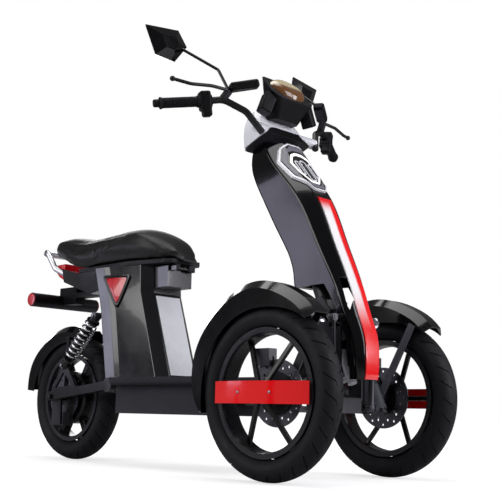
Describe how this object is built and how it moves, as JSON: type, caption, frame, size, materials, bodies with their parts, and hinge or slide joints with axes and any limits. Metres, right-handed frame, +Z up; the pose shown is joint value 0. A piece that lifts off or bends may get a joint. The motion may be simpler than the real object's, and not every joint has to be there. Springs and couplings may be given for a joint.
{
  "type": "tilting three-wheel electric scooter",
  "caption": "Electric scooter with two steered, leaning front wheels under arched fenders, a flat footboard, a hinged seat over a battery tower and one hub-motor rear wheel.",
  "frame": {"origin": "ground point under the middle of the overall length, in the vehicle's centre plane", "axes": "+X forward, +Y to the rider's left, +Z up"},
  "size_m": [1.7984, 0.9074, 1.39],
  "materials": {
    "tyre_rubber": "matt",
    "black_wheel": "satin",
    "steel_disc": "ground",
    "black_metal": "satin",
    "grey_metal": "satin",
    "silver_metal": "satin",
    "red_gloss": "high gloss",
    "black_plastic": "satin",
    "grey_plastic": "satin",
    "grip_rubber": "matt",
    "silver_plastic": "gloss",
    "black_gloss": "high gloss",
    "clear_lens": "clear",
    "smoked_screen": "smoked",
    "red_lens": "gloss",
    "seat_vinyl": "grained",
    "chrome_steel": "polished"
  },
  "bodies": {
    "chassis": {"battery_pack": "grey_metal", "floorboard": "black_plastic", "front_shield": "black_gloss", "front_stripe_panel": "red_gloss", "grab_rail": "silver_metal", "headlight_housing": "silver_plastic", "headlight_lens": "clear_lens", "lower_tilt_beam": "black_metal", "main_frame": "black_metal", "plate_carrier": "black_plastic", "rear_brake_caliper": "black_metal", "rear_fender": "black_gloss", "rear_shock_springs": "chrome_steel", "reflectors": "red_lens", "seat_tower": "grey_plastic", "shock_absorbers": "black_metal", "swingarm": "black_metal", "tail_fairing": "grey_plastic", "tail_light": "red_lens", "tilt_dampers": "silver_metal", "tilt_uprights": "grey_metal", "tower_front_panel": "silver_plastic", "underfloor_cover": "black_plastic", "upper_tilt_beam": "silver_metal"},
    "steering": {"brake_levers": "black_metal", "front_indicators": "black_plastic", "grips": "grip_rubber", "handlebars": "black_metal", "instrument_cowl": "black_plastic", "instrument_screen": "smoked_screen", "master_cylinders": "black_plastic", "mirrors": "black_plastic", "steering_yoke": "silver_plastic", "switch_housings": "black_plastic", "yoke_collar": "black_plastic"},
    "relay": {"relay_link": "grey_metal"},
    "right_steered_hub": {"right_knuckle": "grey_metal", "right_brake_caliper": "black_metal", "right_side_cover": "red_gloss", "right_fender": "black_gloss"},
    "left_steered_hub": {"left_knuckle": "grey_metal", "left_brake_caliper": "black_metal", "left_side_cover": "red_gloss", "left_fender": "black_gloss"},
    "right_front_wheel": {"right_tyre": "tyre_rubber", "right_wheel": "black_wheel", "right_brake_disc": "steel_disc"},
    "left_front_wheel": {"left_tyre": "tyre_rubber", "left_wheel": "black_wheel", "left_brake_disc": "steel_disc"},
    "rear_wheel": {"rear_tyre": "tyre_rubber", "rear_motor_wheel": "black_wheel", "rear_brake_disc": "steel_disc"},
    "seat": {"seat_pad": "seat_vinyl", "seat_base": "black_plastic"}
  },
  "joints": [
    {"name": "steering", "type": "hinge", "parent": "chassis", "child": "steering", "pos_m": [0.655, 0, 0.45], "axis": [-0.3907, 0, 0.9205], "range_deg": [-28, 28]},
    {"name": "right_kingpin", "type": "hinge", "parent": "chassis", "child": "right_steered_hub", "pos_m": [0.655, -0.215, 0.245], "axis": [-0.3907, 0, 0.9205], "range_deg": [-28, 28]},
    {"name": "left_kingpin", "type": "hinge", "parent": "chassis", "child": "left_steered_hub", "pos_m": [0.655, 0.215, 0.245], "axis": [-0.3907, 0, 0.9205], "range_deg": [-28, 28]},
    {"name": "relay_swing", "type": "hinge", "parent": "steering", "child": "relay", "pos_m": [0.65893, 0, 0.28719], "axis": [-0.3907, 0, 0.9205], "range_deg": [-28, 28]},
    {"name": "right_front_wheel_spin", "type": "hinge", "parent": "right_steered_hub", "child": "right_front_wheel", "pos_m": [0.655, -0.273, 0.245], "axis": [0, 1, 0], "continuous": true},
    {"name": "left_front_wheel_spin", "type": "hinge", "parent": "left_steered_hub", "child": "left_front_wheel", "pos_m": [0.655, 0.273, 0.245], "axis": [0, 1, 0], "continuous": true},
    {"name": "rear_wheel_spin", "type": "hinge", "parent": "chassis", "child": "rear_wheel", "pos_m": [-0.62, 0, 0.234], "axis": [0, 1, 0], "continuous": true},
    {"name": "seat_lid", "type": "hinge", "parent": "chassis", "child": "seat", "pos_m": [-0.035, 0, 0.686], "axis": [0, 1, 0], "range_deg": [0, 70]}
  ],
  "couplings": [
    {"joint": "right_kingpin", "follows": "steering", "ratio": 1},
    {"joint": "left_kingpin", "follows": "steering", "ratio": 1},
    {"joint": "relay_swing", "follows": "steering", "ratio": -1}
  ]
}
